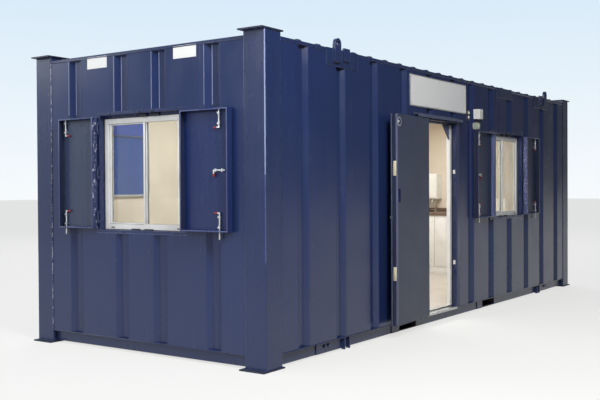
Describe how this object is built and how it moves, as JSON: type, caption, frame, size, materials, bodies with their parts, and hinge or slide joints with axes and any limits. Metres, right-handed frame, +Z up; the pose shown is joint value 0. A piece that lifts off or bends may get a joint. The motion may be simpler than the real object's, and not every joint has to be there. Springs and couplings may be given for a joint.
{
  "type": "portable_site_cabin",
  "caption": "Steel portable site cabin with grooved walls, an outward-opening door, shuttered sliding windows, lifting eyes and fork pockets",
  "frame": {"origin": "on the ground under the middle of the cabin, centred between the corner posts both ways", "axes": "+X along the cabin from the window end to the plain end; -Y is the door side; +Z up"},
  "size_m": [7.434, 2.9134, 2.7449],
  "materials": {
    "frame_steel": "blue-grey semi-gloss paint over mild steel",
    "wall_sheet": "blue-grey coated sheet steel, satin",
    "roof_sheet": "blue-grey coated roof sheet, weathered",
    "shutter_steel": "blue-grey powder coat over folded steel",
    "door_face": "blue-grey coated steel door skin",
    "interior_panel": "cream coated wall and ceiling board",
    "deck": "grey vinyl over floor board",
    "upvc": "white window frame",
    "pane": "clear glazing",
    "zinc": "zinc plated hardware",
    "threshold_alloy": "bare sill plate",
    "white_plastic": "white fittings and blank plates",
    "felt": "blue felt notice board",
    "pocket_steel": "dark weathered paint inside the fork pockets"
  },
  "bodies": {
    "cabin": {"corner_posts": "frame_steel", "base_plates": "frame_steel", "cap_plates": "frame_steel", "bottom_side_rails": "frame_steel", "bottom_end_rails": "frame_steel", "cross_members": "frame_steel", "fork_pockets": "pocket_steel", "floor_deck": "deck", "top_rails": "frame_steel", "roof_sheet": "roof_sheet", "ceiling_lining": "interior_panel", "front_wall_left": "wall_sheet", "front_wall_over_door": "wall_sheet", "front_wall_middle": "wall_sheet", "front_window_infills": "wall_sheet", "front_wall_right": "wall_sheet", "window_end_sides": "wall_sheet", "window_end_infills": "wall_sheet", "back_wall": "wall_sheet", "far_end_wall": "wall_sheet", "wall_lining": "interior_panel", "door_frame": "frame_steel", "door_threshold": "threshold_alloy", "door_hood": "frame_steel", "door_hinges": "frame_steel", "window_surrounds": "frame_steel", "window_frame_end": "upvc", "window_frame_front": "upvc", "window_glass": "pane", "shutter_hinges": "frame_steel", "lifting_eyes": "frame_steel", "lower_brackets": "frame_steel", "electrical_boxes": "white_plastic", "blank_plates": "white_plastic", "notice_board": "felt", "wash_unit": "white_plastic"},
    "door": {"door_leaf": "door_face", "door_fittings": "zinc"},
    "end_near_shutter": {"shutter_end_near": "shutter_steel", "bolts_end_near": "zinc"},
    "end_far_shutter": {"shutter_end_far": "shutter_steel", "bolts_end_far": "zinc"},
    "front_left_shutter": {"shutter_front_left": "shutter_steel", "bolts_front_left": "zinc"},
    "front_right_shutter": {"shutter_front_right": "shutter_steel", "bolts_front_right": "zinc"}
  },
  "joints": [
    {"name": "door_hinge", "type": "hinge", "parent": "cabin", "child": "door", "pos_m": [-0.998, -1.38, 1.138], "axis": [0, 0, 1], "range_deg": [0, 175.7]},
    {"name": "end_near_shutter_hinge", "type": "hinge", "parent": "cabin", "child": "end_near_shutter", "pos_m": [-3.674, -0.513, 1.59], "axis": [0, 0, -1], "range_deg": [0, 180]},
    {"name": "end_far_shutter_hinge", "type": "hinge", "parent": "cabin", "child": "end_far_shutter", "pos_m": [-3.674, 0.513, 1.59], "axis": [0, 0, 1], "range_deg": [0, 180]},
    {"name": "front_left_shutter_hinge", "type": "hinge", "parent": "cabin", "child": "front_left_shutter", "pos_m": [0.807, -1.384, 1.59], "axis": [0, 0, 1], "range_deg": [0, 180]},
    {"name": "front_right_shutter_hinge", "type": "hinge", "parent": "cabin", "child": "front_right_shutter", "pos_m": [1.833, -1.384, 1.59], "axis": [0, 0, -1], "range_deg": [0, 180]}
  ]
}
